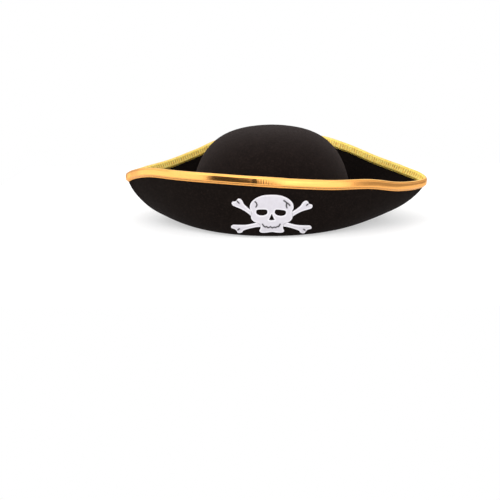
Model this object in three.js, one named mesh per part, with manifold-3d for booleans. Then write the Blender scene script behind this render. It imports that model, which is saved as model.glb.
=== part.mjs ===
// Pirate hat: a felt tricorn with a gold-bound brim and a skull-and-crossbones patch.
//
// Units are millimetres and +Z is up. The origin is the centre of the head opening, level with the
// underside of the brim. The front flap faces -Y, and +X is to the right of someone who looks at it.

import * as THREE from "three";
import { mergeVertices } from "three/addons/utils/BufferGeometryUtils.js";
import Module from "manifold-3d";

const wasm = await Module();
wasm.setup();

// ---------------------------------------------------------------- driving dimensions

const feltThickness = 2;
const gap = 0.3; // clearance that touching pieces keep

// The head oval. Each ring round the head is given by its half width, and is longer by ovalRatio.
const crownHalfWidth = 87;
const ovalRatio = 103 / 87;
const crownTop = 96.5;
const crownSquareness = 2.7; // exponent of the dome's superellipse: 2 is round, more is boxier

// The brim's flat ring, which the hat stands on, and the collar that is sewn inside the crown.
const flatRingHalfWidth = 93;
const collarHeight = 10;
const collarBend = 2.4;

// Where the brim's edge runs, from the front towards +X and round the back: [x, y, z]. The hat is
// hand-shaped, so the left and right sides differ by a few millimetres.
const brimEdge = [
  [0, -124, 60.9], // middle of the front flap
  [56, -117, 56.7],
  [100, -98.5, 54.1],
  [131, -76, 47.5],
  [154, -54.5, 45.4],
  [163.5, -43, 46.6], // right point
  [160, -32, 49.6],
  [146, -8, 53],
  [118, 40, 58.5],
  [88, 80, 67.2], // right rear flap
  [58, 114, 72],
  [25, 152, 63.8],
  [0, 168, 57], // rear point
  [-25, 152, 61.2],
  [-58, 114, 69.5],
  [-88, 80, 61.3], // left rear flap
  [-116, 40, 55],
  [-138, -2, 53.9],
  [-150, -32, 53.6],
  [-153, -43, 52.8], // left point
  [-146, -52.5, 57.3],
  [-126, -73.5, 63.1],
  [-95, -97.5, 63.8],
  [-55, -117, 63.7],
].map((point) => new THREE.Vector3(...point));

// How a flap's section bends, as shares of its reach outwards and its rise. A steep flap turns up
// sharply at its foot, and a point, which reaches further than it rises, climbs in a long sweep.
const footPull = (steepness) => steepness;
const edgePullIn = (steepness) => 0.36 * steepness - 0.09;
const edgePullDown = (steepness) => 0.6 * steepness + 0.27;

// Gold tape folded over the edge, and the row of stitches that holds it.
const tapeThickness = 0.5;
const tapeLeg = 9.2; // how far it reaches down each face of the felt
const stitchDepth = 8.2; // from the brim's edge down to the stitches
const threadRadius = 0.2;

// Sweatband, and the seam through crown, collar and sweatband.
const sweatbandThickness = 1;
const sweatbandBottom = 1.2;
const sweatbandTop = 27;
const headSeamHeight = 6.5;

// Blank care label, which hangs inside the back of the sweatband from its sewn top edge.
const labelWidth = 28;
const labelLength = 19;
const labelThickness = 0.4;
const labelHingeHeight = 25;

// Skull and crossbones patch. Its drawing is measured from patchCentre, [x, z] on the front flap.
const patchThickness = 0.8;
const patchCentre = [0.5, 24.3];
const patchHalfSpan = 8; // brim sections that the patch spans on each side of the front
const boneShaft = 2; // half width
const bones = [
  { root: [-17, -1.5], knuckle: [-34.2, 12.2] },
  { root: [17, -2.2], knuckle: [36.3, 8.9] },
  { root: [-9, -9.9], knuckle: [-34.3, -16.2] },
  { root: [9, -9.5], knuckle: [33.7, -17.7] },
];

// Mesh fineness.
const brimSections = brimEdge.length * 4;
const flapRows = 9;
const headRingSegments = 60;
const threadSides = 5;

// Distances from a face to the middle of a thread that clears it, and to the tape's outer side.
const clearOfThread = gap + threadRadius;
const tapeFace = gap + tapeThickness;

// Half widths of the rings inside the crown, from the felt inwards.
const collarInner = crownHalfWidth - 2 * feltThickness - gap;
const sweatbandOuter = collarInner - gap;
const sweatbandInner = sweatbandOuter - sweatbandThickness;

// ---------------------------------------------------------------- materials

const material = (color, roughness, metalness = 0) =>
  new THREE.MeshStandardMaterial({ color, roughness, metalness });

const crownFelt = material(0x2c2423, 0.95);
const brimFelt = material(0x1d1716, 0.95);
const goldLame = material(0xd9a441, 0.35, 0.8);
const goldThread = material(0xb9812f, 0.6);
const blackThread = material(0x141212, 0.7);
const whitePatch = material(0xe6e3ee, 0.55);
const bandCotton = material(0x1a1919, 0.85);
const labelSatin = material(0xf2f0ea, 0.5);

// ---------------------------------------------------------------- helpers

// A point on the head oval of the given half width; angle 0 is the front, and it grows towards +X.
function ovalPoint(halfWidth, angle, z) {
  return new THREE.Vector3(halfWidth * Math.sin(angle), -halfWidth * ovalRatio * Math.cos(angle), z);
}

// Triangles that join each side of one closed section to the same side of another.
function sectionBand(first, second, sides) {
  const index = [];
  for (let j = 0; j < sides; j += 1) {
    const side = (j + 1) % sides;
    const [a, b] = [first * sides + j, second * sides + j];
    const [c, d] = [second * sides + side, first * sides + side];
    index.push(a, b, c, a, c, d);
  }
  return index;
}

// A closed ring from a list of closed sections, each with the same number of points.
function ringSolid(sections) {
  const sides = sections[0].length;
  const index = sections.flatMap((_, i) => sectionBand(i, (i + 1) % sections.length, sides));
  const geometry = new THREE.BufferGeometry().setFromPoints(sections.flat());
  geometry.setIndex(index);
  geometry.computeVertexNormals();
  return geometry;
}

// The section of a thread, as [x, y] steps from its middle.
const threadRim = Array.from({ length: threadSides }, (_, side) => {
  const turn = (2 * Math.PI * side) / threadSides;
  return [threadRadius * Math.cos(turn), threadRadius * Math.sin(turn)];
});

// An oval ring or dome: a profile of [half width, z] points turned about Z.
function ovalLathe(profile) {
  const points = profile.map(([halfWidth, z]) => new THREE.Vector2(halfWidth, z));
  const geometry = new THREE.LatheGeometry(points, headRingSegments);
  geometry.rotateX(Math.PI / 2);
  geometry.scale(1, ovalRatio, 1);
  return geometry;
}

function toManifold(geometry) {
  const bare = geometry.clone();
  bare.deleteAttribute("normal");
  bare.deleteAttribute("uv");
  const merged = mergeVertices(bare, 1e-4);
  const vertProperties = new Float32Array(merged.attributes.position.array);
  const triVerts = new Uint32Array(merged.index.array);
  return new wasm.Manifold(new wasm.Mesh({ numProp: 3, vertProperties, triVerts }));
}

function fromManifold(solid) {
  const { vertProperties, triVerts } = solid.getMesh();
  const geometry = new THREE.BufferGeometry();
  geometry.setAttribute("position", new THREE.BufferAttribute(vertProperties, 3));
  geometry.setIndex(new THREE.BufferAttribute(triVerts, 1));
  geometry.computeVertexNormals();
  return geometry;
}

function part(name, geometry, finish) {
  const mesh = new THREE.Mesh(geometry, finish);
  mesh.name = name;
  return mesh;
}

// ---------------------------------------------------------------- the brim's surface

// The brim's face that looks at the floor and outwards, as rows of points. Each section starts at
// the top of the collar, passes under the crown and climbs the flap to the edge.
function brimSection(edgePoint) {
  const angle = Math.atan2(edgePoint.x, -edgePoint.y / ovalRatio);
  const bendStep = collarBend * (1 - Math.SQRT1_2);
  const points = [
    ovalPoint(collarInner, angle, collarHeight),
    ovalPoint(collarInner, angle, collarBend),
    ovalPoint(collarInner + bendStep, angle, bendStep),
    ovalPoint(collarInner + collarBend, angle, 0),
  ];
  const foot = ovalPoint(flatRingHalfWidth, angle, 0);
  const reach = new THREE.Vector3(edgePoint.x - foot.x, edgePoint.y - foot.y, 0);
  const rise = new THREE.Vector3(0, 0, edgePoint.z);
  const steepness = rise.length() / (rise.length() + reach.length());
  const flap = new THREE.CubicBezierCurve3(
    foot,
    foot.clone().addScaledVector(reach, footPull(steepness)),
    edgePoint
      .clone()
      .addScaledVector(reach, -edgePullIn(steepness))
      .addScaledVector(rise, -edgePullDown(steepness)),
    edgePoint,
  );
  return points.concat(flap.getPoints(flapRows));
}
const edgeCurve = new THREE.CatmullRomCurve3(brimEdge, true);
const brimFace = Array.from({ length: brimSections }, (_, i) =>
  brimSection(edgeCurve.getPoint(i / brimSections)));

const wrap = (i) => (i + brimSections) % brimSections;

// Unit normal of the brim's outer face at section i, row j.
function brimNormal(i, j) {
  const lastRow = brimFace[0].length - 1;
  const around = brimFace[wrap(i + 1)][j].clone().sub(brimFace[wrap(i - 1)][j]);
  const up = brimFace[i][Math.min(j + 1, lastRow)].clone().sub(brimFace[i][Math.max(j - 1, 0)]);
  return around.cross(up).normalize();
}
const brimNormals = brimFace.map((section, i) => section.map((_, j) => brimNormal(i, j)));

// The brim's face moved out along its normals; a negative distance goes into the felt.
function offsetRow(i, j, outwards) {
  return brimFace[i][j].clone().addScaledVector(brimNormals[i][j], outwards);
}

// A point on section i, a given depth below the edge measured along the felt, moved outwards.
function pointBelowEdge(i, depth, outwards) {
  let row = brimFace[i].length - 1;
  let left = depth;
  let stride = brimFace[i][row].distanceTo(brimFace[i][row - 1]);
  while (left > stride) {
    left -= stride;
    row -= 1;
    stride = brimFace[i][row].distanceTo(brimFace[i][row - 1]);
  }
  return offsetRow(i, row, outwards).lerp(offsetRow(i, row - 1, outwards), left / stride);
}

// A point above the edge, where the tape folds over it.
function pointAboveEdge(i, height, outwards) {
  const last = brimFace[i].length - 1;
  const up = brimFace[i][last].clone().sub(brimFace[i][last - 1]).normalize();
  return offsetRow(i, last, outwards).addScaledVector(up, height);
}

const everySection = (sectionAt) => brimFace.map((_, i) => sectionAt(i));

// ---------------------------------------------------------------- pieces

function makeBrim() {
  const solid = ringSolid(everySection((i) => {
    const outer = brimFace[i].map((_, j) => offsetRow(i, j, 0));
    const inner = brimFace[i].map((_, j) => offsetRow(i, j, -feltThickness));
    return outer.concat(inner.reverse());
  }));
  return part("brim", solid, brimFelt);
}

// A superellipse from the crown's foot to its top, with its points closer together near the foot.
function domeProfile(halfWidth, bottom, top) {
  const steps = 13;
  return Array.from({ length: steps + 1 }, (_, k) => {
    const turn = (Math.PI / 2) * (k / steps) ** 1.5;
    const power = 2 / crownSquareness;
    const across = k === steps ? 0 : Math.cos(turn) ** power;
    return [halfWidth * across, bottom + (top - bottom) * Math.sin(turn) ** power];
  });
}

function makeCrown() {
  const bottom = feltThickness + gap;
  const outer = domeProfile(crownHalfWidth, bottom, crownTop);
  const inner = domeProfile(crownHalfWidth - feltThickness, bottom, crownTop - feltThickness);
  return part("crown", ovalLathe([...inner.reverse(), ...outer]), crownFelt);
}

function makeEdgeBinding() {
  const near = gap;
  const far = gap + tapeThickness;
  const backNear = -feltThickness - near;
  const backFar = -feltThickness - far;
  const solid = ringSolid(everySection((i) => [
    pointBelowEdge(i, tapeLeg, far),
    pointBelowEdge(i, tapeLeg / 2, far),
    pointBelowEdge(i, 0, far),
    pointAboveEdge(i, far, 0),
    pointAboveEdge(i, far, -feltThickness),
    pointBelowEdge(i, 0, backFar),
    pointBelowEdge(i, tapeLeg / 2, backFar),
    pointBelowEdge(i, tapeLeg, backFar),
    pointBelowEdge(i, tapeLeg, backNear),
    pointBelowEdge(i, tapeLeg / 2, backNear),
    pointAboveEdge(i, near, backNear),
    pointAboveEdge(i, near, near),
    pointBelowEdge(i, tapeLeg / 2, near),
    pointBelowEdge(i, tapeLeg, near),
  ]));
  return part("edge_binding", solid, goldLame);
}

function makeBindingThread(name, outwards) {
  const solid = ringSolid(everySection((i) => threadRim.map(([across, down]) =>
    pointBelowEdge(i, stitchDepth - down, outwards + across))));
  return part(name, solid, goldThread);
}

function makeSweatband() {
  const profile = [
    [sweatbandInner, sweatbandBottom],
    [sweatbandOuter, sweatbandBottom],
    [sweatbandOuter, sweatbandTop],
    [sweatbandInner, sweatbandTop],
    [sweatbandInner, sweatbandBottom],
  ];
  return part("sweatband", ovalLathe(profile), bandCotton);
}

function makeHeadSeamThread(name, halfWidth) {
  const closedRim = [...threadRim, threadRim[0]];
  const profile = closedRim.map(([across, up]) => [halfWidth + across, headSeamHeight + up]);
  return part(name, ovalLathe(profile), blackThread);
}

// ---------------------------------------------------------------- emblem

const vector = ([x, y]) => new THREE.Vector2(x, y);

// The skull: half of its outline, from the top of the head down the +X side to the chin, mirrored.
function skullShape() {
  const half = [
    [9.5, 19.4],
    [16.8, 15.9],
    [20.6, 11],
    [21.2, 6],
    [20, 1.8],
    [20.8, -2.6],
    [19.4, -6.4],
    [16, -8.7],
    [12.4, -10.2],
    [11.4, -13.2],
    [11.4, -16],
    [12.4, -18.6],
    [10.8, -20.1],
    [5, -20.3],
  ];
  const otherHalf = half.map(([x, z]) => [-x, z]);
  const top = [0, 20.4];
  const chin = [0, -19.5];
  const outline = new THREE.SplineCurve([top, ...otherHalf, chin, ...half.reverse(), top].map(vector));
  const outlineSteps = 60;
  const skull = new THREE.Shape(outline.getPoints(outlineSteps).slice(1));
  skull.holes.push(eyeSocket([-10, 1.5], 0.02), eyeSocket([8.5, 0.8], -0.14), noseHole());
  return skull;
}

// A socket with a flat lid and a round lower edge, turned by tilt radians.
function eyeSocket(centre, tilt) {
  const halfWidth = 5.5;
  const lidHeight = 1.7;
  const cheekDepth = 3.8;
  const steps = 14;
  const rim = Array.from({ length: steps }, (_, k) => {
    const turn = (2 * Math.PI * k) / steps;
    const height = Math.sin(turn) > 0 ? lidHeight : cheekDepth;
    const point = new THREE.Vector2(halfWidth * Math.cos(turn), height * Math.sin(turn));
    return point.rotateAround(new THREE.Vector2(), tilt).add(vector(centre));
  });
  return new THREE.Path(rim);
}

function noseHole() {
  return new THREE.Path([[0, -1.4], [2, -5.9], [0, -6.4], [-2, -5.9]].map(vector));
}

// A bone from its root behind the skull to its knuckle, which has two round lobes. One side of it
// is given as distances past the root or the knuckle and half widths, and the other is its mirror.
function boneShape({ root, knuckle }) {
  const start = vector(root);
  const along = vector(knuckle).sub(start);
  const length = along.length();
  along.normalize();
  const across = new THREE.Vector2(-along.y, along.x);
  const side = [
    [0, boneShaft],
    [length - 10, boneShaft],
    [length - 5.5, boneShaft + 1],
    [length - 2, boneShaft + 2.6],
    [length + 1, boneShaft + 3.2],
    [length + 3.4, boneShaft + 2],
    [length + 3.8, boneShaft],
  ];
  const notch = [length + 2.2, 0];
  const mirrored = side.map(([distance, width]) => [distance, -width]).reverse();
  const place = ([distance, width]) =>
    start.clone().addScaledVector(along, distance).addScaledVector(across, width);
  return new THREE.Shape([...side, notch, ...mirrored].map(place));
}

// The layer of space just in front of the front flap that the patch is cut from.
function patchLayer() {
  const firstRow = 6;
  const lastRow = brimFace[0].length - 2;
  const rows = Array.from({ length: lastRow - firstRow + 1 }, (_, k) => firstRow + k);
  const columns = Array.from({ length: 2 * patchHalfSpan + 1 }, (_, k) => wrap(k - patchHalfSpan));
  return cappedLoft(columns.map((i) => {
    const near = rows.map((j) => offsetRow(i, j, gap));
    const far = rows.map((j) => offsetRow(i, j, gap + patchThickness));
    return far.concat(near.reverse());
  }));
}

// A solid through sections that each hold a front and a back row, closed by a cap at each end.
function cappedLoft(sections) {
  const sides = sections[0].length;
  const index = [];
  sections.slice(1).forEach((_, i) => index.push(...sectionBand(i, i + 1, sides)));
  const end = (sections.length - 1) * sides;
  for (let j = 0; j < sides / 2 - 1; j += 1) {
    const [a, b, c, d] = [j, j + 1, sides - 2 - j, sides - 1 - j];
    index.push(a, b, c, a, c, d);
    index.push(end + a, end + c, end + b, end + a, end + d, end + c);
  }
  const geometry = new THREE.BufferGeometry().setFromPoints(sections.flat());
  geometry.setIndex(index);
  return geometry;
}

function makeEmblem() {
  const depth = 60; // the cutters reach from in front of the flap to behind it
  const front = -140;
  const cutters = [skullShape(), ...bones.map(boneShape)].map((shape) => {
    const prism = new THREE.ExtrudeGeometry(shape, { depth, bevelEnabled: false });
    prism.rotateX(Math.PI / 2);
    prism.translate(patchCentre[0], front + depth, patchCentre[1]);
    return toManifold(prism);
  });
  const drawing = cutters.reduce((whole, cutter) => whole.add(cutter));
  return part("emblem", fromManifold(drawing.intersect(toManifold(patchLayer()))), whitePatch);
}

// ---------------------------------------------------------------- label

function makeCareLabel() {
  const corner = 1;
  const half = labelWidth / 2;
  const outline = new THREE.Shape();
  outline.moveTo(-half, 0);
  outline.lineTo(-half, corner - labelLength);
  outline.lineTo(corner - half, -labelLength);
  outline.lineTo(half - corner, -labelLength);
  outline.lineTo(half, corner - labelLength);
  outline.lineTo(half, 0);
  const geometry = new THREE.ExtrudeGeometry(outline, { depth: labelThickness, bevelEnabled: false });
  geometry.rotateX(Math.PI / 2);
  const label = part("care_label", geometry, labelSatin);
  label.position.set(0, labelHingeY() + labelThickness / 2, labelHingeHeight - clearOfThread);
  return label;
}

// The label is flat and the sweatband is round, so its corners set how far forward it hangs. It
// clears the seam's thread behind it.
function labelHingeY() {
  const corner = Math.asin((labelWidth / 2 + 1) / sweatbandInner);
  return ovalPoint(sweatbandInner, Math.PI - corner, 0).y - 2 * clearOfThread - labelThickness / 2;
}

// The label swings on the thread that sews its top edge.
function makeLabelThread() {
  const sides = 12;
  const geometry = new THREE.CylinderGeometry(threadRadius, threadRadius, labelWidth - 2, sides);
  geometry.rotateZ(Math.PI / 2);
  const thread = part("label_thread", geometry, blackThread);
  thread.position.set(0, labelHingeY(), labelHingeHeight);
  return thread;
}

// ---------------------------------------------------------------- the hat

const hat = new THREE.Group();
hat.add(makeCrown());
hat.add(makeBrim());
hat.add(makeEdgeBinding());
hat.add(makeBindingThread("binding_needle_thread", tapeFace + clearOfThread));
hat.add(makeBindingThread("binding_bobbin_thread", -feltThickness - tapeFace - clearOfThread));
hat.add(makeEmblem());
hat.add(makeHeadSeamThread("crown_seam_thread", crownHalfWidth + clearOfThread));
hat.add(makeSweatband());
hat.add(makeHeadSeamThread("sweatband_thread", sweatbandInner - clearOfThread));
hat.add(makeCareLabel());
hat.add(makeLabelThread());

export default hat;
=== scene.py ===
"""Looks of the felt pirate hat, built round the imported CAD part.

Shapes are worked out in millimetres in the part's frame, and become metres when a mesh is made.
The brim is a grid of points: its sections run round the head, from the front towards +X, and each
section's rows run from the collar's top, under the crown and up the flap to the brim's edge.
"""

import math

import bpy
import numpy as np
from mathutils import Matrix, Vector, noise
from mathutils.bvhtree import BVHTree
from mathutils.geometry import delaunay_2d_cdt


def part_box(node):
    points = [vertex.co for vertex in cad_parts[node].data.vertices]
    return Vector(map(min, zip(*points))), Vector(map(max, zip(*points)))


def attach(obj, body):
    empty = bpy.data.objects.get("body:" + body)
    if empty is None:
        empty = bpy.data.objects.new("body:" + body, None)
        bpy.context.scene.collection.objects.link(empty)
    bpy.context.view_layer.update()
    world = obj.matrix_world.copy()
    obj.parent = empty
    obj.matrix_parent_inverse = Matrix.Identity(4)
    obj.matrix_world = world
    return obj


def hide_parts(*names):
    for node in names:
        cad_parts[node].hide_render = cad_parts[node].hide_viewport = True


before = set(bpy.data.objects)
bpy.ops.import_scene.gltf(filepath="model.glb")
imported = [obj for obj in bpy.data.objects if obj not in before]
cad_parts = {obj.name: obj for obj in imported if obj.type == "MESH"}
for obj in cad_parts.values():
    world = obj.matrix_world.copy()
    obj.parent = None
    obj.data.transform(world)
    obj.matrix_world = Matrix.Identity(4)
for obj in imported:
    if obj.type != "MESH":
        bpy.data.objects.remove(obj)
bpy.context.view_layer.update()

# -------- driving dimensions, millimetres

METRES = 0.001  # metres in a millimetre
FELT = 2
CROWN_HALF_WIDTH = 87
OVAL_RATIO = 103 / 87  # the head oval's length over its width
CROWN_TOP = 96.5
CROWN_BOTTOM = 2.3
CROWN_SQUARENESS = 2.7  # exponent of the dome's superellipse
FLAT_RING_HALF_WIDTH = 93
COLLAR_INNER = 82.7
COLLAR_HEIGHT = 10
COLLAR_BEND = 2.4
HEAD_SEAM_HEIGHT = 6.5
SWEATBAND_OUTER = 82.4
SWEATBAND_INNER = 81.4
SWEATBAND_BOTTOM = 1.2
SWEATBAND_TOP = 27
TAPE_LEG = 9.2  # how far the tape reaches down each face of the felt
STITCH_DEPTH = 8.2  # from the brim's edge down to the tape's stitches
THREAD_RADIUS = 0.22
PATCH_CENTRE = (0.5, 24.3)  # x and z on the front flap

# The brim's edge, from the middle of the front flap towards +X and round the back.
BRIM_EDGE = np.array([
    [0, -124, 60.9], [56, -117, 56.7], [100, -98.5, 54.1], [131, -76, 47.5],
    [154, -54.5, 45.4], [163.5, -43, 46.6], [160, -32, 49.6], [146, -8, 53],
    [118, 40, 58.5], [88, 80, 67.2], [58, 114, 72], [25, 152, 63.8],
    [0, 168, 57], [-25, 152, 61.2], [-58, 114, 69.5], [-88, 80, 61.3],
    [-116, 40, 55], [-138, -2, 53.9], [-150, -32, 53.6], [-153, -43, 52.8],
    [-146, -52.5, 57.3], [-126, -73.5, 63.1], [-95, -97.5, 63.8], [-55, -117, 63.7],
])

# -------- geometry helpers


def unit(vectors):
    return vectors / np.linalg.norm(vectors, axis=-1, keepdims=True)


def smooth_step(low, high, value):
    """0 below low, 1 above high, and a smooth climb between them."""
    share = np.clip((value - low) / (high - low), 0, 1)
    return share * share * (3 - 2 * share)


def bell(value, middle, width):
    """A bump of height 1 at middle that fades over width."""
    return np.exp(-(((value - middle) / width) ** 2))


def noise_at(points, feature):
    """Smooth noise from -1 to 1 at each point, with features about that many millimetres across."""
    return np.array([noise.noise(Vector(point)) for point in points / feature])


def even_turns(count):
    """Angles of count even steps round a circle."""
    return np.arange(count) * 2 * np.pi / count


def closed_spline(stations, count):
    """Points of the closed centripetal Catmull-Rom curve through the stations."""
    steps = np.arange(count) * len(stations) / count
    first = steps.astype(int)
    share = (steps - first)[:, None]
    p0, p1, p2, p3 = (stations[(first + k) % len(stations)] for k in (-1, 0, 1, 2))
    d0, d1, d2 = (np.sqrt(np.linalg.norm(b - a, axis=1))[:, None]
                  for a, b in ((p0, p1), (p1, p2), (p2, p3)))
    start = d1 * ((p1 - p0) / d0 - (p2 - p0) / (d0 + d1) + (p2 - p1) / d1)
    end = d1 * ((p2 - p1) / d1 - (p3 - p1) / (d1 + d2) + (p3 - p2) / d2)
    square = 3 * (p2 - p1) - 2 * start - end
    cube = 2 * (p1 - p2) + start + end
    return ((cube * share + square) * share + start) * share + p1


def closed_lengths(points):
    """The distance round a closed line from its first point to each point, and once round."""
    steps = np.linalg.norm(np.roll(points, -1, 0) - points, axis=1)
    return np.concatenate([[0], np.cumsum(steps)])


def along_closed(points, lengths, wanted):
    """Values of points at the wanted distances round the closed line that has those lengths."""
    wanted = np.mod(wanted, lengths[-1])
    looped = np.concatenate([points, points[:1]])
    return np.stack([np.interp(wanted, lengths, column) for column in looped.T], axis=-1)


def even_steps(points, count):
    """Points that cut a closed line into count equal steps."""
    lengths = closed_lengths(points)
    return along_closed(points, lengths, np.arange(count) * lengths[-1] / count)


def oval(half_width, angle, z):
    """Points on the head oval; angle 0 is the front, and it grows towards +X."""
    across, along = half_width * np.sin(angle), -half_width * OVAL_RATIO * np.cos(angle)
    return np.stack(np.broadcast_arrays(across, along, z), axis=-1)


# -------- making meshes


def join_scene(name, data):
    made = bpy.data.objects.new(name, data)
    bpy.context.scene.collection.objects.link(made)
    return made


def make_piece(name, points, faces, material, body="hat", cloth=None):
    """A smooth-shaded mesh that rides on a body. cloth gives each face corner its place on the flat
    cloth, in millimetres, for the weave."""
    mesh = bpy.data.meshes.new(name)
    mesh.from_pydata((points * METRES).tolist(), [], [list(face) for face in faces])
    mesh.polygons.foreach_set("use_smooth", [True] * len(mesh.polygons))
    if cloth is not None:
        layer = mesh.uv_layers.new(name="cloth")
        layer.data.foreach_set("uv", (np.asarray(cloth, float) * METRES).ravel())
    mesh.materials.append(material)
    mesh.update()
    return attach(join_scene(name, mesh), body)


def add_attribute(piece, name, values):
    """A number for each point of a piece, which its material can read."""
    layer = piece.data.attributes.new(name, "FLOAT", "POINT")
    layer.data.foreach_set("value", np.ravel(values).astype(np.float32))


def grid_faces(sections, sides, closed_sides=True):
    """Faces of a closed ring of sections, each with that many points, as [section, side] corners.
    The corners aren't wrapped, so they also say where a face lies on the flat cloth."""
    last_side = sides if closed_sides else sides - 1
    section, side = np.meshgrid(np.arange(sections), np.arange(last_side), indexing="ij")
    corners = [(0, 0), (1, 0), (1, 1), (0, 1)]
    places = [np.stack([section + i, side + j], axis=-1) for i, j in corners]
    return np.stack(places, axis=2).reshape(-1, 4, 2)


def ring_piece(name, rows, material, across=None, around=None):
    """A closed ring from rows of points, where row j holds that row's point on every section.
    across says how far each row lies across the flat cloth, and around how long the ring is."""
    points = np.stack(rows, axis=1)
    sections, sides = points.shape[:2]
    corners = grid_faces(sections, sides)
    faces = (corners[..., 0] % sections) * sides + corners[..., 1] % sides
    cloth = None
    if across is not None:
        looped = np.append(across, across[-1])
        cloth = np.stack([corners[..., 0] * around / sections, looped[corners[..., 1]]], axis=-1)
    return make_piece(name, points.reshape(-1, 3), faces, material, cloth=cloth)


def lathe_piece(name, profile, segments, material, shape):
    """A dome from a profile of [half width, z] points whose two ends lie on the axis. shape moves
    the points."""
    angles = even_turns(segments)
    rings = np.stack([oval(width, angles, z) for width, z in profile[1:-1]], axis=1)
    ends = [(0, 0, z) for _, z in (profile[0], profile[-1])]
    points = np.concatenate([rings.reshape(-1, 3), ends])
    rows = len(profile) - 2
    corners = grid_faces(segments, rows, closed_sides=False)
    faces = [tuple(face) for face in (corners[..., 0] % segments) * rows + corners[..., 1]]
    first_end, last_end = len(points) - 2, len(points) - 1
    for i in range(segments):
        here, after = i * rows, (i + 1) % segments * rows
        faces.append((first_end, after, here))
        faces.append((last_end, here + rows - 1, after + rows - 1))
    return make_piece(name, shape(points), faces, material)


def lock_stitches(name, line, normals, pitch, length, material):
    """A row of stitches along a closed line. Each is a short thread whose ends dive into the cloth;
    normals point out of the cloth."""
    lengths = closed_lengths(line)
    count = round(lengths[-1] / pitch)
    middles = (np.arange(count) + 0.5) * lengths[-1] / count
    reach = np.linspace(-1, 1, 9)
    places = middles[:, None] + reach * length / 2
    centre = along_closed(line, lengths, places)
    normal = unit(along_closed(normals, lengths, places))
    along = unit(np.gradient(centre, axis=1))
    side = np.cross(along, normal)
    lift = THREAD_RADIUS * (0.75 - 1.9 * reach**4)
    girth = THREAD_RADIUS * np.sqrt(1.05 - reach**4)
    turns = even_turns(8)
    ring = np.cos(turns)[:, None] * normal[:, :, None] + np.sin(turns)[:, None] * side[:, :, None]
    points = (centre + normal * lift[:, None])[:, :, None] + ring * girth[:, None, None]
    return make_piece(name, points.reshape(-1, 3), tube_faces(count, len(reach), len(turns)), material)


def tube_faces(tubes, rings, sides):
    """Faces of separate tubes with closed ends, whose points are listed ring by ring."""
    faces = []
    for first in range(0, tubes * rings * sides, rings * sides):
        last = first + (rings - 1) * sides
        for low in range(first, last, sides):
            for side in range(sides):
                after = (side + 1) % sides
                faces.append((low + side, low + after, low + sides + after, low + sides + side))
        faces.append(tuple(reversed(range(first, first + sides))))
        faces.append(tuple(range(last, last + sides)))
    return faces


# -------- materials


def grey(light):
    return light, light, light


class Nodes:
    """A node tree whose nodes are added and joined by short calls."""

    def __init__(self, tree):
        self.tree = tree

    def fill(self, node, values):
        for socket, value in values.items():
            if isinstance(value, bpy.types.NodeSocket):
                self.tree.links.new(value, node.inputs[socket])
            else:
                node.inputs[socket].default_value = value

    def add(self, kind, values, **settings):
        node = self.tree.nodes.new(kind)
        for setting, value in settings.items():
            setattr(node, setting, value)
        self.fill(node, values)
        return node

    def math(self, operation, *values):
        return self.add("ShaderNodeMath", dict(enumerate(values)), operation=operation).outputs[0]

    def ramp(self, factor, *stops):
        """Colours blended by a factor: each stop is (place, colour)."""
        node = self.add("ShaderNodeValToRGB", {"Fac": factor})
        elements = node.color_ramp.elements
        elements.remove(elements[1])
        elements[0].position, colour = stops[0]
        elements[0].color = (*colour, 1)
        for place, colour in stops[1:]:
            elements.new(place).color = (*colour, 1)
        return node.outputs["Color"]

    def blend(self, factor, first, second):
        colours = {"Fac": factor, "Color1": first, "Color2": second}
        return self.add("ShaderNodeMixRGB", colours).outputs[0]


class Shader(Nodes):
    """A Principled material."""

    def __init__(self, name, values):
        self.material = bpy.data.materials.new(name)
        self.material.use_nodes = True
        super().__init__(self.material.node_tree)
        self.surface = self.tree.nodes["Principled BSDF"]
        self.fill(self.surface, values)

    def place(self):
        """Where a point lies in the part's frame, in metres."""
        return self.add("ShaderNodeTexCoord", {}).outputs["Object"]

    def cloth(self):
        """Where a point lies on the flat cloth, in metres: both together, then along and across."""
        uv = self.add("ShaderNodeUVMap", {}, uv_map="cloth").outputs["UV"]
        parts = self.add("ShaderNodeSeparateXYZ", {"Vector": uv})
        return uv, parts.outputs["X"], parts.outputs["Y"]

    def attribute(self, name):
        return self.add("ShaderNodeAttribute", {}, attribute_name=name).outputs["Fac"]

    def noise(self, vector, feature, detail=4, roughness=0.6, distortion=0):
        """Noise with features about that many millimetres across."""
        values = {"Vector": vector, "Scale": 1 / (feature * METRES), "Detail": detail,
                  "Roughness": roughness, "Distortion": distortion}
        return self.add("ShaderNodeTexNoise", values).outputs["Fac"]

    def ribs(self, coordinate, pitch):
        """A wave from 0 to 1 along a coordinate in metres, with that pitch in millimetres."""
        turns = self.math("MULTIPLY", coordinate, 2 * math.pi / (pitch * METRES))
        return self.math("MULTIPLY_ADD", self.math("SINE", turns), 0.5, 0.5)

    def bump(self, height, depth, strength, under=None):
        """A bump that height (0 to 1) raises by depth millimetres, on top of the bump under it."""
        values = {"Height": height, "Distance": depth * METRES, "Strength": strength}
        if under is not None:
            values["Normal"] = under
        return self.add("ShaderNodeBump", values).outputs["Normal"]

    def finish(self, **sockets):
        """The material, once sockets such as Base_Color are filled."""
        self.fill(self.surface, {name.replace("_", " "): value for name, value in sockets.items()})
        return self.material


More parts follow.
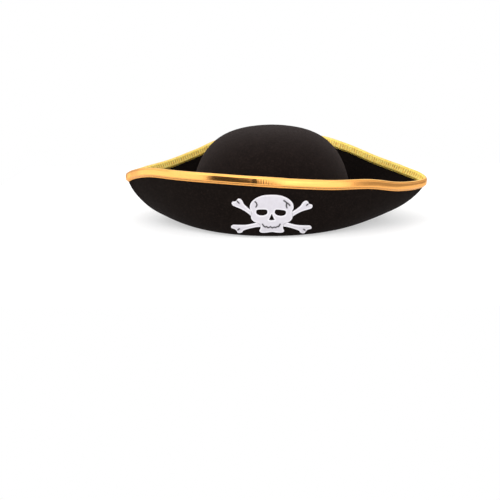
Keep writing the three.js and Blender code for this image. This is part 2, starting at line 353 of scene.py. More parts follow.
def felt_material(name, dark, light, sheen):
    """Wool-like felt: short tangled fibres, a cloudy nap, pale specks and a soft sheen."""
    shader = Shader(name, {
        "Roughness": 0.9,
        "Specular IOR Level": 0.05,
        "Sheen Weight": sheen,
        "Sheen Roughness": 0.5,
        "Sheen Tint": (1, 0.8, 0.77, 1),
    })
    place = shader.place()
    fibres = shader.noise(place, 0.9, detail=6, roughness=0.75, distortion=1.5)
    clouds = shader.noise(place, 14, detail=3)
    nap = shader.math("MULTIPLY_ADD", fibres, 0.75, shader.math("MULTIPLY", clouds, 0.35))
    tufts = shader.noise(place, 2.2, detail=5, roughness=0.8)
    specks = shader.ramp(tufts, (0.5, (0, 0, 0)), (0.75, (1, 1, 1)))
    pale = tuple(2 * part for part in light)
    colour = shader.blend(specks, shader.ramp(nap, (0.35, dark), (0.75, light)), (*pale, 1))
    pits = shader.noise(place, 2.6, detail=2)
    normal = shader.bump(fibres, 0.35, 0.8, under=shader.bump(pits, 0.5, 0.5))
    return shader.finish(Base_Color=colour, Normal=normal)


GATHERS_START, GATHERS_END = 1, 4  # where the tape turns from smooth to gathered, over its fold


def gold_tape_material():
    """Flat metal yarn along the tape, bound by fine weft. On the gathered inner leg the yarn lies every
    way and scatters the light, so it is rougher and less metallic; its brighter yellow is a painted
    reflection, and its dents are painted dark brown, a painted shade."""
    shader = Shader("gold_tape", {})
    uv, along, across = shader.cloth()
    yarn = shader.ribs(across, 0.62)
    weft = shader.ribs(along, 0.5)
    weave = shader.math("MULTIPLY", yarn, weft)
    drawn_out = shader.add("ShaderNodeMapping", {"Vector": uv, "Scale": (1, 9, 1)}).outputs[0]
    streaks = shader.noise(drawn_out, 7)
    limits = {"From Min": GATHERS_START * METRES, "From Max": GATHERS_END * METRES}
    gathered = shader.add("ShaderNodeMapRange", {"Value": across, **limits}).outputs[0]
    smooth = shader.blend(streaks, (0.84, 0.36, 0.085, 1), (0.93, 0.46, 0.135, 1))
    tangle = shader.noise(uv, 3, detail=2)
    # Painted reflection: the gathered yarn is coloured a brighter yellow than the smooth metal, with
    # random clumps.
    clumps = shader.ramp(tangle, (0.35, (1.0, 0.6, 0.07)), (0.6, (1.0, 0.82, 0.2)))
    dent_and_shade = shader.attribute("dent_and_shade")
    # Painted shade: the dents are darkened to brown where the stitches pull the tape in.
    gathered_painted_light = shader.blend(dent_and_shade, clumps, (0.42, 0.18, 0.03, 1))
    colour = shader.blend(gathered, smooth, gathered_painted_light)
    metallic = shader.math("MULTIPLY_ADD", gathered, -0.77, 0.97)
    roughness = shader.math("MULTIPLY_ADD", gathered, 0.3, 0.16)
    creases = shader.noise(shader.place(), 3.2, detail=3)
    normal = shader.bump(weave, 0.012, 0.5, under=shader.bump(creases, 0.06, 0.5))
    return shader.finish(Base_Color=colour, Metallic=metallic, Roughness=roughness, Normal=normal)


def thread_material(name, colour, roughness):
    """Twisted sewing thread."""
    shader = Shader(name, {"Roughness": roughness, "Sheen Weight": 0.2})
    place = shader.place()
    fibres = shader.noise(place, 0.35, detail=4, distortion=2)
    darker = tuple(0.6 * part for part in colour)
    shade = shader.ramp(fibres, (0.35, darker), (0.65, colour))
    return shader.finish(Base_Color=shade, Normal=shader.bump(fibres, 0.08, 0.8))


def patch_material():
    """White fabric patch with printed lines. The mesh says where the ink is, and where the rim is
    painted whiter, a painted highlight along its raised edge.
    """
    shader = Shader("white_patch", {"Roughness": 0.62, "Sheen Weight": 0.15, "Specular IOR Level": 0.3})
    place = shader.place()
    ink = shader.attribute("ink")
    rim = shader.attribute("rim")
    mottle = shader.noise(place, 5, detail=4)
    face = shader.ramp(mottle, (0.3, (0.565, 0.54, 0.585)), (0.7, (0.625, 0.6, 0.645)))
    # Painted highlight: the rim along the edge is coloured whiter than the face.
    white = shader.blend(rim, face, (0.75, 0.73, 0.765, 1))
    colour = shader.blend(ink, white, (0.02, 0.016, 0.018, 1))
    grain = shader.noise(place, 0.7, detail=3)
    return shader.finish(Base_Color=colour, Normal=shader.bump(grain, 0.12, 0.5))


def band_material():
    """Black ribbed cotton tape."""
    shader = Shader("band_cotton", {"Roughness": 0.8, "Sheen Weight": 0.25})
    _, along, across = shader.cloth()
    ribs = shader.ribs(along, 1.2)
    weft = shader.ribs(across, 0.4)
    weave = shader.math("MULTIPLY", ribs, weft)
    lint = shader.noise(shader.place(), 1.5, detail=5)
    colour = shader.ramp(lint, (0.3, (0.012, 0.011, 0.012)), (0.75, (0.045, 0.042, 0.044)))
    return shader.finish(Base_Color=colour, Normal=shader.bump(weave, 0.12, 0.7))


def satin_material():
    """Blank white satin ribbon."""
    shader = Shader("label_satin", {"Roughness": 0.35, "Sheen Weight": 0.2})
    uv, _, across = shader.cloth()
    floats = shader.ribs(across, 0.25)
    dust = shader.noise(uv, 6, detail=3)
    colour = shader.ramp(dust, (0.3, (0.78, 0.77, 0.73)), (0.7, (0.87, 0.86, 0.82)))
    return shader.finish(Base_Color=colour, Normal=shader.bump(floats, 0.03, 0.6))


def floor_material():
    """A white table that is also lit from below, so that shadows on it stay faint."""
    shader = Shader("floor_white", {
        "Roughness": 0.85,
        "Specular IOR Level": 0.1,
        "Emission Color": (1, 1, 1, 1),
        "Emission Strength": 0.5,
    })
    paper = shader.noise(shader.place(), 400, detail=2)
    return shader.finish(Base_Color=shader.ramp(paper, (0, grey(0.5)), (1, grey(0.53))))


# -------- the brim's face


class Face:
    """The brim's face that looks at the floor and outwards, as points[section, row]. Its depths are
    measured along the felt, from the edge down."""

    def __init__(self, points):
        self.points = points
        around = np.roll(points, -1, 0) - np.roll(points, 1, 0)
        self.normals = unit(np.cross(around, np.gradient(points, axis=1)))
        strides = np.linalg.norm(np.diff(points[:, ::-1], axis=1), axis=2)
        self.depths = np.concatenate([np.zeros((len(points), 1)), np.cumsum(strides, axis=1)], axis=1)

    def row(self, j, outwards):
        return self.points[:, j] + outwards * self.normals[:, j]

    def below_edge(self, depth, outwards):
        """Points that lie depth below the edge, along the felt, and are moved outwards from it. A
        negative depth lies above the edge. Both may differ from section to section."""
        depth, outwards = (np.broadcast_to(value, len(self.points)) for value in (depth, outwards))
        last = self.points.shape[1] - 1
        stride = np.clip((self.depths < depth[:, None]).sum(axis=1), 1, last)
        sections = np.arange(len(self.points))
        near_depth, far_depth = self.depths[sections, stride - 1], self.depths[sections, stride]
        share = ((depth - near_depth) / (far_depth - near_depth))[:, None]
        near_row, far_row = last - stride + 1, last - stride
        near, far = self.points[sections, near_row], self.points[sections, far_row]
        point = (1 - share) * near + share * far
        bend = np.clip(share, 0, 1)
        near, far = self.normals[sections, near_row], self.normals[sections, far_row]
        return point + outwards[:, None] * unit((1 - bend) * near + bend * far)


def flap_rows(foot, edge):
    """Rows from the flap's foot to the brim's edge, on a Bezier curve that leaves the foot level.
    The steeper the flap, the more its top leans in."""
    reach = (edge - foot) * [1, 1, 0]
    rise = edge * [0, 0, 1]
    height, length = edge[:, 2:], np.linalg.norm(reach, axis=1, keepdims=True)
    steepness = height / (height + length)
    pull_in = 0.36 * steepness - 0.09
    pull_down = 0.6 * steepness + 0.27
    low, high = foot + steepness * reach, edge - pull_in * reach - pull_down * rise
    return [(1 - t) ** 3 * foot + 3 * t * (1 - t) ** 2 * low + 3 * t**2 * (1 - t) * high + t**3 * edge
            for t in np.linspace(0, 1, 44)]


def brim_face(sections):
    edge = even_steps(closed_spline(BRIM_EDGE, 6000), sections)
    angle = np.arctan2(edge[:, 0], -edge[:, 1] / OVAL_RATIO)
    rows = [oval(COLLAR_INNER, angle, z) for z in np.linspace(COLLAR_HEIGHT, COLLAR_BEND, 5)]
    for turn in np.linspace(0, math.pi / 2, 7)[1:]:
        width = COLLAR_INNER + COLLAR_BEND * (1 - math.cos(turn))
        rows.append(oval(width, angle, COLLAR_BEND * (1 - math.sin(turn))))
    rows.append(oval((COLLAR_INNER + COLLAR_BEND + FLAT_RING_HALF_WIDTH) / 2, angle, 0))
    rows += flap_rows(oval(FLAT_RING_HALF_WIDTH, angle, 0), edge)
    return np.stack(rows, axis=1)


def hand_shaped(points):
    """Gives the flaps the slight unevenness of felt that was turned up by hand."""
    face = Face(points)
    flat = points.reshape(-1, 3)
    wave = 0.5 * noise_at(flat, 42) + 0.16 * noise_at(flat + 500, 17)
    free = smooth_step(4, 30, flat[:, 2])
    return points + (wave * free).reshape(points.shape[:2])[..., None] * face.normals


# -------- felt pieces


def brim_rows(face):
    """Rows round the whole felt: up its outer face, over the edge, down its inner face and round the
    collar's top."""
    half = FELT / 2
    turns = np.linspace(0, math.pi, 7)
    inside_rows = range(1, face.points.shape[1] - 1)
    total = face.depths[:, -1]
    rows = [face.row(j, 0) for j in inside_rows]
    rows += [face.below_edge(half - half * math.sin(t), half * (math.cos(t) - 1)) for t in turns]
    rows += [face.row(j, -FELT) for j in reversed(inside_rows)]
    rows += [face.below_edge(total - half + half * math.sin(t), -half * (math.cos(t) + 1))
             for t in turns]
    return rows


def ruffled(points):
    """Moves points of the felt a little in all three directions."""
    return points + 0.05 * np.stack([noise_at(points + shift, 2.2) for shift in (0, 50, 100)], axis=1)


def make_brim(face, material):
    brim = ring_piece("brim_felt", [ruffled(row) for row in brim_rows(face)], material)
    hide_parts("brim")


def dome_profile(half_width, bottom, top, steps):
    """A superellipse from the crown's foot to its top, closer together near the foot."""
    turns = math.pi / 2 * np.linspace(0, 1, steps) ** 1.5
    power = 2 / CROWN_SQUARENESS
    across = np.abs(np.cos(turns)) ** power
    across[-1] = 0
    return np.stack([half_width * across, bottom + (top - bottom) * np.sin(turns) ** power], axis=1)


def nap_of(points):
    """Felt's fine unevenness, and the soft dents of a pressed dome."""
    outwards = unit(points - [0, 0, CROWN_TOP / 3])
    dents = 0.45 * noise_at(points, 38) * smooth_step(20, 60, points[:, 2])
    ruffle = 0.07 * noise_at(points, 3)
    return points + outwards * (dents + ruffle)[:, None]


def crown_profile():
    """The section of the crown's wall: down its inner face, round its foot and up its outer face."""
    outer = dome_profile(CROWN_HALF_WIDTH, CROWN_BOTTOM, CROWN_TOP, 90)
    inner = dome_profile(CROWN_HALF_WIDTH - FELT, CROWN_BOTTOM, CROWN_TOP - FELT, 90)
    half = FELT / 2
    turns = np.linspace(0, math.pi, 7)[1:-1]
    middle = CROWN_HALF_WIDTH - half
    rim = [[middle - half * math.cos(t), CROWN_BOTTOM + half * (1 - math.sin(t))] for t in turns]
    inner, outer = (wall[wall[:, 1] > CROWN_BOTTOM + half] for wall in (inner, outer))
    return [*inner[::-1], *rim, *outer]


def make_crown(material):
    crown = lathe_piece("crown_felt", crown_profile(), 260, material, nap_of)
    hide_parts("crown")


# -------- gold tape and its stitches

TAPE_GAP = 0.08
TAPE_THICKNESS = 0.4
FOLD = FELT / 2 + TAPE_GAP + TAPE_THICKNESS  # radius of the tape's fold over the edge
LEG_START = 0.12  # how far down its leg the fold ends, as a share of the leg
OVERLAP_FROM, OVERLAP_TO = -16, 13  # where the tape's ends lie over each other, along X at the front
STITCH_PITCH = 3.9
STITCH_LENGTH = 2.9
NEEDLE_LIFT = 0.5  # of the stitches above the brim's outer face
BOBBIN_LIFT = 0.55  # above its inner face


def pucker(distance, round_trip):
    """Dents that the stitches pull into the tape, from 0 to 1, at each distance along the edge."""
    count = round(round_trip / STITCH_PITCH)
    turn = 2 * np.pi * distance / round_trip
    circle = np.stack([np.cos(turn), np.sin(turn), 0 * turn], axis=1) * round_trip / (2 * np.pi)
    size = 0.75 + 0.9 * noise_at(circle, 7)
    wave = np.cos(count * turn + 2 * noise_at(circle + 300, 14))
    return np.clip(size, 0, 1) * ((1 + wave) / 2) ** 2


def overlap(edge):
    """How far the tape is raised where its ends lie over each other, in small gathers."""
    x, front = edge[:, 0], edge[:, 1] < -100
    doubled = smooth_step(OVERLAP_FROM - 3, OVERLAP_FROM + 3, x)
    doubled = doubled * (1 - smooth_step(OVERLAP_TO - 0.4, OVERLAP_TO + 0.4, x))
    gathers = np.sin(x * 2 * np.pi / 2.4) * bell(x, OVERLAP_FROM + 9, 5)
    return (0.35 * doubled + 0.035 * gathers) * front


# A row of the tape's outer side is its depth below the brim's edge, how far it lies outwards from the
# brim's outer face, its place across the flat tape, and how dented it is, which also sets its painted
# shade.


def outer_leg(dents, layer):
    """Rows up the outer leg, from its lip to the fold. Its stitches pull it down to the felt."""
    for share in np.linspace(1, LEG_START, 15):
        depth = TAPE_LEG * share
        puff = (0.32 * depth - 0.013 * depth**2) * (1 - smooth_step(6.3, 8.6, depth))
        lip = 0.25 * smooth_step(STITCH_DEPTH + 0.3, TAPE_LEG, depth)
        pull = 0.12 * dents * bell(depth, STITCH_DEPTH, 2) + 0.12 * bell(depth, STITCH_DEPTH, 0.7)
        yield depth, TAPE_GAP + TAPE_THICKNESS + puff + lip + layer - pull, -depth, 0 * dents


def fold(dents, layer):
    """Rows over the brim's edge."""
    for turn in np.linspace(0, math.pi, 9):
        depth = FELT / 2 - (FOLD + 0.5 * layer) * math.sin(turn)
        yield depth, (FOLD + layer) * math.cos(turn) - FELT / 2, FOLD * turn, 0 * dents


def inner_leg(dents):
    """Rows down the inner leg, which puffs out between the dents."""
    for share in np.linspace(LEG_START, 1, 17):
        depth = TAPE_LEG * share
        # How deep the dent is, which also sets how dark the dent is painted, a painted shade.
        dent_and_shade = dents * bell(depth, 4.2, 2.4)
        puff = 0.1 + 1.3 * smooth_step(0, 7.5, depth) * (1 - smooth_step(7.4, 8.6, depth))
        lift = TAPE_GAP + TAPE_THICKNESS + puff - 0.45 * dent_and_shade - 0.1 * bell(depth, STITCH_DEPTH, 0.6)
        yield depth, -FELT - lift, FOLD * math.pi + depth, dent_and_shade


def lining():
    """Rows of the side that lies on the felt, up the inner leg and down the outer one: only their
    depth and how far outwards they lie."""
    radius = FELT / 2 + TAPE_GAP
    for share in np.linspace(1, LEG_START, 5):
        yield TAPE_LEG * share, -FELT - TAPE_GAP
    for turn in np.linspace(math.pi, 0, 7):
        yield FELT / 2 - radius * math.sin(turn), radius * math.cos(turn) - FELT / 2
    for share in np.linspace(LEG_START, 1, 5):
        yield TAPE_LEG * share, TAPE_GAP


def make_tape(face, material):
    edge = face.points[:, -1]
    lengths = closed_lengths(edge)
    dents = pucker(lengths[:-1], lengths[-1])
    layer = overlap(edge)
    outer = [*outer_leg(dents, layer), *fold(dents, layer), *inner_leg(dents)]
    inner = list(lining())
    rows = [face.below_edge(depth, outwards) for depth, outwards, *_ in outer + inner]
    across = [row[2] for row in outer]
    across += list(np.linspace(across[-1], across[0], len(inner)))
    painted_dent_shade = [row[3] for row in outer] + [0 * dents] * len(inner)
    tape = ring_piece("gold_tape", rows, material, np.array(across), lengths[-1])
    # How dark each point of the dents is painted, a painted shade.
    add_attribute(tape, "dent_and_shade", np.stack(painted_dent_shade, axis=1))
    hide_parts("edge_binding")


def make_tape_stitches(face, name, node, outwards, material):
    side = math.copysign(1, outwards)
    line = face.below_edge(STITCH_DEPTH, outwards)
    normals = side * unit(face.below_edge(STITCH_DEPTH, 1) - face.below_edge(STITCH_DEPTH, 0))
    row = lock_stitches(name, line, normals, STITCH_PITCH, STITCH_LENGTH, material)
    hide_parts(node)


# -------- head seam and sweatband


def make_head_stitches(name, node, half_width, side, material):
    """Stitches round the head oval; side is 1 on its outside and -1 on its inside."""
    pitch, length = 4.4, 3.2
    line = oval(half_width, even_turns(720), HEAD_SEAM_HEIGHT)
    along = np.roll(line, -1, 0) - np.roll(line, 1, 0)
    normals = side * unit(np.cross(along, [0, 0, 1]))
    row = lock_stitches(name, line, normals, pitch, length, material)
    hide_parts(node)


def make_sweatband(material):
    """A ribbed tape round the head, with rounded selvedges."""
    ribs, relief = 470, 0.07
    angles = even_turns(4 * ribs)
    ribbing = relief * np.sin(ribs * angles)
    middle = (SWEATBAND_OUTER + SWEATBAND_INNER) / 2
    half = (SWEATBAND_OUTER - SWEATBAND_INNER) / 2 - 0.08
    low, high = SWEATBAND_BOTTOM + half, SWEATBAND_TOP - half
    heights = np.linspace(low, high, 12)
    selvedge = [(half * math.cos(t), half * math.sin(t)) for t in np.linspace(0, math.pi, 5)[1:-1]]
    around = closed_lengths(oval(middle, angles, 0))[-1]
    rows = [oval(middle + half + ribbing, angles, z) for z in heights]
    rows += [oval(middle + out, angles, high + up) for out, up in selvedge]
    rows += [oval(middle - half + ribbing, angles, z) for z in reversed(heights)]
    rows += [oval(middle - out, angles, low - up) for out, up in selvedge]
    across = np.array([row[0, 2] for row in rows])
    band = ring_piece("sweatband_cloth", rows, material, across=across, around=around)
    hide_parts("sweatband")


# -------- skull patch

PATCH_GRID = 0.4
# How deep inside its outline the patch has rings of points, and the step along each ring.
PATCH_RINGS = [(0, 0.3), (0.14, 0.3), (0.32, 0.3), (0.6, 0.35), (1.0, 0.4), (1.5, 0.5)]
# Places on the flat patch are x and z from its middle. This is the skull's half towards +X.
SKULL_HALF = [
    (9.5, 18.9), (16.8, 15.4), (20.8, 10.8), (21.4, 6), (19.8, 2.2), (20.4, -1.2), (20.2, -4.4),
    (17.4, -7.6), (12.8, -9.2), (11.2, -12), (11.2, -14.6), (12.3, -17.4), (10.8, -18.9), (5, -19),
]
# Each bone's root, the middle of its far end, and how far its end leans out on its left side.
BONES = [
    ((-17, -1.1), (-33.8, 11.5), 1.2),
    ((17, -1.8), (35, 8.8), -0.9),
    ((-9, -9.3), (-34.4, -15.8), -2.2),
    ((9, -8.9), (33.4, -16.6), 2.2),
]
INK_LINES = [
    [(-16.3, 13), (-14.9, 11.7), (-14.3, 9.6), (-15.4, 7.5)],
    [(12, 14), (14.7, 11.9), (14.3, 9.3), (14.9, 6.5)],
    [(14.7, 11.9), (17.2, 9.9), (17.6, 8.9)],
    [(-9.1, -9.9), (-8, -11.6), (-6.6, -12.9), (-5, -12.2), (-3.6, -13.6), (-1.2, -12.4), (0.6, -13.8),
     (2.4, -12.7), (3.8, -13.2), (5.4, -12.4), (6.8, -12.4), (7.6, -11), (8.2, -9.9)],
    [(-34, 13.4), (-31.8, 11)],
    [(34, 8.6), (35.7, 9.9)],
    [(-33.7, -16.8), (-32, -15.3)],
    [(31.4, -16.1), (33, -17.4)],
]


def skull_outline():
    top, chin = [(0, 19.9)], [(0, -18.3)]
    mirrored = [(-x, z) for x, z in SKULL_HALF]
    return closed_spline(np.array(top + SKULL_HALF + chin + mirrored[::-1], float), 180)


def socket_outline(centre, tilt):
    """An eye socket with a flat lid and a round lower edge."""
    half_width, lid, cheek = 5.5, 3, 3.1
    turns = even_turns(60)
    across, up = np.cos(turns), np.sin(turns)
    flatness = np.where(up > 0, 0.5, 1)
    x = half_width * np.sign(across) * np.abs(across) ** flatness
    z = np.where(up > 0, lid, cheek) * np.sign(up) * np.abs(up) ** flatness
    turned = [x * math.cos(tilt) - z * math.sin(tilt), x * math.sin(tilt) + z * math.cos(tilt)]
    return np.stack(turned, axis=1) + centre


def bone_outline(root, knuckle, lean):
    """A bone that widens to a notched end, whose left side reaches further out by the lean."""
    start, end = np.array(root, float), np.array(knuckle, float)
    length = np.linalg.norm(end - start)
    along = (end - start) / length
    across = np.array([-along[1], along[0]])
    shaft = [(0, 2.5), (length / 2 - 5, 2.2), (length - 10, 2.4), (length - 5.5, 3.2)]
    lobe = np.array([(length - 2, 4.5), (length + 0.8, 5), (length + 2.8, 4), (length + 3.2, 2.2)])
    left, right = (np.concatenate([shaft, lobe + [shift, 0]]) for shift in (lean, -lean))
    profile = np.concatenate([left, [(length + 2.2, 0)], right[::-1] * [1, -1]])
    return closed_spline(start + profile[:, :1] * along + profile[:, 1:] * across, 120)


def straight_sided(corners, steps):
    """A closed outline through the corners, with each side cut into steps."""
    sides = zip(corners, corners[1:] + corners[:1])
    return np.concatenate([np.linspace(a, b, steps, endpoint=False) for a, b in sides])


def distance_to(points, line, closed):
    """Distance from each point to a line of straight steps."""
    ends = np.roll(line, -1, 0) if closed else line[1:]
    nearest = np.full(len(points), np.inf)
    for start, end in zip(line, ends):
        step = end - start
        share = np.clip((points - start) @ step / (step @ step), 0, 1)
        nearest = np.minimum(nearest, np.linalg.norm(points - start - share[:, None] * step, axis=1))
    return nearest


def is_inside(points, outline):
    crossings = np.zeros(len(points), int)
    for (x0, z0), (x1, z1) in zip(outline, np.roll(outline, -1, 0)):
        spans = (z0 > points[:, 1]) != (z1 > points[:, 1])
        if z0 != z1:
            crossings += spans & (points[:, 0] < x0 + (points[:, 1] - z0) * (x1 - x0) / (z1 - z0))
    return crossings % 2 == 1


def depth_inside(points, outline):
    """How far inside the outline each point is; negative outside."""
    return np.where(is_inside(points, outline), 1, -1) * distance_to(points, outline, True)


class Drawing:
    """The skull and crossbones, in millimetres on the flat patch."""

    def __init__(self):
        self.solids = [skull_outline(), *(bone_outline(*bone) for bone in BONES)]
        nose = straight_sided([(0, 0.6), (-2.7, -5.5), (0, -6), (2.7, -5.5)], 8)
        self.holes = [socket_outline((-9.7, 2), 0.02), socket_outline((8.4, 1.6), -0.13), nose]
        self.lines = [np.array(line, float) for line in INK_LINES]

    def depth(self, points):
        inside = np.max([depth_inside(points, outline) for outline in self.solids], axis=0)
        clear = np.min([-depth_inside(points, outline) for outline in self.holes], axis=0)
        return np.minimum(inside, clear)

    def ink(self, points):
        nearest = np.min([distance_to(points, line, False) for line in self.lines], axis=0)
        return 1 - smooth_step(0.4, 0.85, nearest)

    def seam(self, points):
        """1 where a bone passes behind the skull's outline, and fading beside it."""
        behind = np.max([depth_inside(points, outline) for outline in self.solids[1:]], axis=0) > 0.2
        return (1 - smooth_step(0.15, 0.6, distance_to(points, self.solids[0], True))) * behind


def level_loops(depth, xs, zs, level):
    """Closed lines on which a sampled depth[x, z] equals level, by marching squares, but no specks."""
    fewest = 9
    above = depth > level

    def crossing(a, b):
        share = (level - depth[a]) / (depth[b] - depth[a])
        return (xs[a[0]] + share * (xs[b[0]] - xs[a[0]]), zs[a[1]] + share * (zs[b[1]] - zs[a[1]]))

    partners = {}
    for i, j in np.argwhere(above[:-1, :-1] + above[1:, :-1] + above[:-1, 1:] + above[1:, 1:]):
        corners = [(i, j), (i + 1, j), (i + 1, j + 1), (i, j + 1)]
        sides = zip(corners, corners[1:] + corners[:1])
        cut = [tuple(sorted(side)) for side in sides if above[side[0]] != above[side[1]]]
        for first, second in zip(cut[::2], cut[1::2]):
            partners.setdefault(first, []).append(second)
            partners.setdefault(second, []).append(first)
    loops = []
    while partners:
        edge = next(iter(partners))
        loop = []
        while edge in partners:
            loop.append(crossing(*edge))
            after = [other for other in partners.pop(edge) if other in partners]
            edge = after[0] if after else None
        loops.append(np.array(loop))
    return [loop for loop in loops if len(loop) >= fewest]


def patch_points(drawing):
    """Points of the flat patch and the edges that its triangles have to follow."""
    xs = np.arange(-42, 43.5, PATCH_GRID)
    zs = np.arange(-24, 23, PATCH_GRID)
    grid = np.stack(np.meshgrid(xs, zs, indexing="ij"), axis=-1)
    depth = drawing.depth(grid.reshape(-1, 2)).reshape(grid.shape[:2])
    points, edges = [], []
    for level, step in PATCH_RINGS:
        for loop in level_loops(depth, xs, zs, level):
            lengths = closed_lengths(loop)
            count = max(8, round(lengths[-1] / step))
            start = len(points)
            points += list(along_closed(loop, lengths, np.arange(count) * lengths[-1] / count))
            edges += [(start + k, start + (k + 1) % count) for k in range(count)]
    points += list(grid[::2, ::2][depth[::2, ::2] > 1.8])
    for line in drawing.lines:
        for start, end in zip(line[:-1], line[1:]):
            length = np.linalg.norm(end - start)
            across = np.array([start[1] - end[1], end[0] - start[0]]) / length
            for share in np.arange(0, 1, 0.3 / length):
                middle = start + share * (end - start)
                points += [middle + shift * across for shift in (-0.6, -0.35, 0, 0.35, 0.6)]
    return np.array(points), edges


def patch_mesh(drawing):
    """Flat points and triangles that fill the drawing. Slivers on its outline are left out."""
    sliver = 0.01
    points, edges = patch_points(drawing)
    found = delaunay_2d_cdt([Vector(point) for point in points], edges, [], 0, 1e-4)
    points = np.array([tuple(point) for point in found[0]])
    triangles = np.array([face for face in found[2] if len(face) == 3])
    centres = points[triangles].mean(axis=1)
    triangles = triangles[drawing.depth(centres) > sliver]
    used, renumbered = np.unique(triangles, return_inverse=True)
    return points[used], renumbered.reshape(-1, 3)


def flap_caster(face):
    """A function that gives the y of the front flap's outer face at x and z."""
    sections, rows = face.points.shape[:2]
    corners = grid_faces(sections, rows, closed_sides=False)
    quads = (corners[..., 0] % sections) * rows + corners[..., 1]
    tree = BVHTree.FromPolygons(face.points.reshape(-1, 3).tolist(), quads.tolist())
    forwards = Vector((0, 1, 0))

    def y_at(x, z):
        return tree.ray_cast(Vector((x, -300, z)), forwards)[0].y

    return y_at


def on_flap(y_at, flat, height):
    """The flat patch laid on the flap, with each point raised by its height. The slope is taken over
    a step to each side, but not below the flap's foot."""
    step, lowest = 1.5, 0.3
    placed = []
    for (x, z), lift in zip(flat + PATCH_CENTRE, height):
        y = y_at(x, z)
        under = max(z - step, lowest)
        slope_x = (y_at(x + step, z) - y_at(x - step, z)) / (2 * step)
        slope_z = (y_at(x, z + step) - y_at(x, under)) / (z + step - under)
        out = Vector((slope_x, -1, slope_z)).normalized()
        placed.append((x + lift * out.x, y + lift * out.y, z + lift * out.z))
    return np.array(placed)


def patch_relief(depth, ink, seam):
    """The patch's thickness: a rounded edge, a raised rim, a softly domed face and sunk lines."""
    roundness = 0.5
    edge = 0.65 * np.sqrt(np.clip(1 - (1 - np.clip(depth / roundness, 0, 1)) ** 2, 0, 1))
    rim = 0.16 * bell(depth, 0.95, 0.45)
    dome = 0.45 * smooth_step(1.5, 9, depth)
    return 0.12 + edge + rim + dome - 0.16 * ink - 0.3 * seam


def make_patch(face, material):
    drawing = Drawing()
    flat, triangles = patch_mesh(drawing)
    depth, ink, seam = drawing.depth(flat), drawing.ink(flat), drawing.seam(flat)
    y_at = flap_caster(face)
    front = on_flap(y_at, flat, patch_relief(depth, ink, seam))
    back = on_flap(y_at, flat, np.full(len(flat), 0.06))
    count = len(flat)
    faces = [tuple(t) for t in triangles] + [tuple(t[::-1] + count) for t in triangles]
    sides = {(a, b) for t in triangles for a, b in zip(t, np.roll(t, -1))}
    faces += [(b, a, a + count, b + count) for a, b in sides if (b, a) not in sides]
    patch = make_piece("skull_patch", np.concatenate([front, back]), faces, material)
    add_attribute(patch, "ink", np.tile(np.maximum(ink, 0.35 * seam), 2))
    # Where the edge is painted whiter, a painted highlight.
    add_attribute(patch, "rim", np.tile(bell(depth, 0.7, 0.6), 2))
    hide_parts("emblem")


# -------- care label


def two_sided(front, back):
    """Faces and points of a cloth whose front and back are given as grids of points."""
    index = np.arange(front[..., 0].size).reshape(front.shape[:2])
    cells = [index[:-1, :-1], index[1:, :-1], index[1:, 1:], index[:-1, 1:]]
    faces = np.stack(cells, axis=-1).reshape(-1, 4)
    rim = np.concatenate([index[:-1, 0], index[-1, :-1], index[:0:-1, -1], index[0, :0:-1]])
    after = np.roll(rim, -1)
    sides = np.stack([after, rim, rim + index.size, after + index.size], axis=-1)
    points = np.concatenate([front.reshape(-1, 3), back.reshape(-1, 3)])
    return np.concatenate([faces, faces[:, ::-1] + index.size, sides]), points


def make_label(material):
    """A blank satin label that hangs from its sewn top edge, with a slight curl."""
    low, high = (np.array(corner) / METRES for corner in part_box("care_label"))
    half = [0, 0.17, 0]
    x, z = np.meshgrid(np.linspace(low[0], high[0], 43), np.linspace(low[2], high[2], 29), indexing="ij")
    hang = (high[2] - z) / (high[2] - low[2])
    aside = 2 * (x - low[0]) / (high[0] - low[0]) - 1
    curl = -0.8 * hang**2 * (0.4 + 0.6 * aside**2)
    sheet = np.stack([x, (low[1] + high[1]) / 2 + curl, z], axis=-1)
    faces, points = two_sided(sheet - half, sheet + half)
    cloth = points[faces][..., [0, 2]]
    label = make_piece("care_label_satin", points, faces, material, "label", cloth)
    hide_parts("care_label")


def make_label_stitches(material):
    """Whip stitches that hold the label's top edge to the sweatband, along the label's hinge."""
    low, high = (np.array(corner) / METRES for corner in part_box("label_thread"))
    middle = (low + high) / 2
    radius, pitch, arch = 0.2, 2.1, 0.25
    start_y = middle[1] - 0.3
    turns = even_turns(8)
    reach = np.linspace(0, 1, 9)
    xs = np.arange(low[0] + 1, high[0], pitch)
    points = []
    for x in xs:
        band_y = SWEATBAND_INNER * OVAL_RATIO * math.sqrt(1 - (x / SWEATBAND_INNER) ** 2)
        for share in reach:
            y = start_y + share * (band_y + 0.4 - start_y)
            z = middle[2] + arch * math.sin(share * math.pi)
            girth = radius * math.sqrt(1.05 - (2 * share - 1) ** 4)
            points += [(x + girth * math.cos(t), y, z - girth * math.sin(t)) for t in turns]
    faces = tube_faces(len(xs), len(reach), len(turns))
    row = make_piece("label_stitches", np.array(points), faces, material)
    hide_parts("label_thread")


# -------- camera, light and floor


def make_camera():
    """The photograph's view: a little above the hat, which sits above and right of the middle."""
    distance, height, elevation = 1.1, 0.05, math.radians(9)
    yaw, pitch, roll = math.radians(-1.2564), math.radians(-13.6176), math.radians(-0.5)
    forward = Vector((math.sin(yaw) * math.cos(pitch), math.cos(yaw) * math.cos(pitch), math.sin(pitch)))
    right = forward.cross(Vector((0, 0, 1))).normalized()
    up = right.cross(forward)
    axes = Matrix((right, up, -forward)).transposed() @ Matrix.Rotation(roll, 3, "Z")
    data = bpy.data.cameras.new("camera")
    data.sensor_width = 36
    data.lens = 72.03
    camera = join_scene("camera", data)
    place = Vector((0, -distance * math.cos(elevation), height + distance * math.sin(elevation)))
    camera.matrix_world = Matrix.Translation(place) @ axes.to_4x4()
    bpy.context.scene.camera = camera


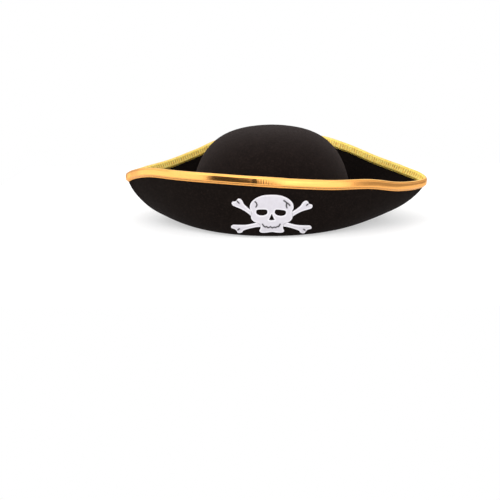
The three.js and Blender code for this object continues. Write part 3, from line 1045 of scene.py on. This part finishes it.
def make_floor(material):
    """A square table, a hair below the brim so that the two faces don't touch."""
    half, drop = 0.35, 0.0004
    mesh = bpy.data.meshes.new("floor")
    corners = [(-half, -half, 0), (half, -half, 0), (half, half, 0), (-half, half, 0)]
    mesh.from_pydata(corners, [], [(0, 1, 2, 3)])
    mesh.materials.append(material)
    floor = join_scene("floor", mesh)
    floor.location.z = -drop


def make_sun(name, azimuth, elevation, strength, spread):
    """A broad soft light from far away. Azimuth 0 is the front, and 90 is +X."""
    data = bpy.data.lights.new(name, "SUN")
    data.energy = strength
    data.angle = math.radians(spread)
    light = join_scene(name, data)
    a, e = math.radians(azimuth), math.radians(elevation)
    source = Vector((math.sin(a) * math.cos(e), -math.cos(a) * math.cos(e), math.sin(e)))
    light.rotation_mode = "QUATERNION"
    light.rotation_quaternion = source.to_track_quat("Z", "Y")


# The studio's light round the horizon, as (azimuth in degrees, light), and how high it reaches, as
# (azimuth, sine of the elevation). The dark opening reaches higher than the rest.
HORIZON = [(-180, 0.8), (-115, 0.8), (-100, 1.75), (-46, 1.75), (-42, 0.02), (-9, 0.02), (8, 1.85),
           (48, 1.85), (60, 0.5), (100, 0.5), (125, 0.8)]
HORIZON_TOP = [(-46, 0.3), (-42, 0.7), (-9, 0.7), (8, 0.3)]
FADE = 0.2  # from the horizon's light to the ceiling's, as a sine
CEILING = 1.15


def make_world():
    """A white studio: an even ceiling, and soft boxes on both sides of a dark opening to the left of
    the camera, which itself sees white."""
    world = bpy.data.worlds.new("studio")
    bpy.context.scene.world = world
    world.use_nodes = True
    sky = Nodes(world.node_tree)
    direction = sky.add("ShaderNodeTexCoord", {}).outputs["Generated"]
    x, y, z = sky.add("ShaderNodeSeparateXYZ", {0: direction}).outputs
    azimuth = sky.math("ARCTAN2", x, sky.math("MULTIPLY", y, -1.0))
    turned = sky.add("ShaderNodeMapRange", {"Value": azimuth, "From Min": -math.pi, "From Max": math.pi})
    belt, top = (
        sky.ramp(turned.outputs[0], *(((degrees + 180) / 360, grey(value)) for degrees, value in stops))
        for stops in (HORIZON, HORIZON_TOP)
    )
    limits = {"From Min": top, "From Max": sky.math("ADD", top, FADE)}
    rise = sky.add("ShaderNodeMapRange", {"Value": z, **limits}, interpolation_type="SMOOTHSTEP")
    light = sky.blend(rise.outputs[0], belt, (*grey(CEILING), 1))
    lit = sky.add("ShaderNodeBackground", {"Color": light})
    seen = sky.add("ShaderNodeBackground", {"Color": (1, 1, 1, 1)})
    is_camera = sky.add("ShaderNodeLightPath", {}).outputs["Is Camera Ray"]
    either = sky.add("ShaderNodeMixShader", {0: is_camera, 1: lit.outputs[0], 2: seen.outputs[0]})
    sky.tree.links.new(either.outputs[0], sky.tree.nodes["World Output"].inputs["Surface"])


# -------- the scene

make_camera()
make_world()
make_floor(floor_material())
make_sun("key", azimuth=-50, elevation=52, strength=0.75, spread=60)
make_sun("fill", azimuth=10, elevation=40, strength=0.7, spread=70)

black_thread = thread_material("black_thread", (0.03, 0.027, 0.027), 0.6)
gold_thread = thread_material("gold_thread", (0.7, 0.43, 0.12), 0.45)
felt = Face(hand_shaped(brim_face(sections=760)))
edge_face = Face(hand_shaped(brim_face(sections=1700)))  # finer, for the tape's small gathers

make_brim(felt, felt_material("brim_felt", (0.003, 0.0018, 0.0014), (0.0085, 0.0056, 0.0046), 0.01))
make_crown(felt_material("crown_felt", (0.0028, 0.0016, 0.0013), (0.0105, 0.0066, 0.0057), 0.045))
make_tape(edge_face, gold_tape_material())
make_tape_stitches(edge_face, "tape_needle_stitches", "binding_needle_thread", NEEDLE_LIFT, gold_thread)
make_tape_stitches(edge_face, "tape_bobbin_stitches", "binding_bobbin_thread", -FELT - BOBBIN_LIFT,
                   gold_thread)
make_head_stitches("crown_seam_stitches", "crown_seam_thread", CROWN_HALF_WIDTH, 1, black_thread)
make_sweatband(band_material())
make_head_stitches("sweatband_stitches", "sweatband_thread", SWEATBAND_INNER + 0.02, -1, black_thread)
make_patch(felt, patch_material())
make_label_stitches(black_thread)
make_label(satin_material())

bpy.context.scene.view_settings.view_transform = "Standard"
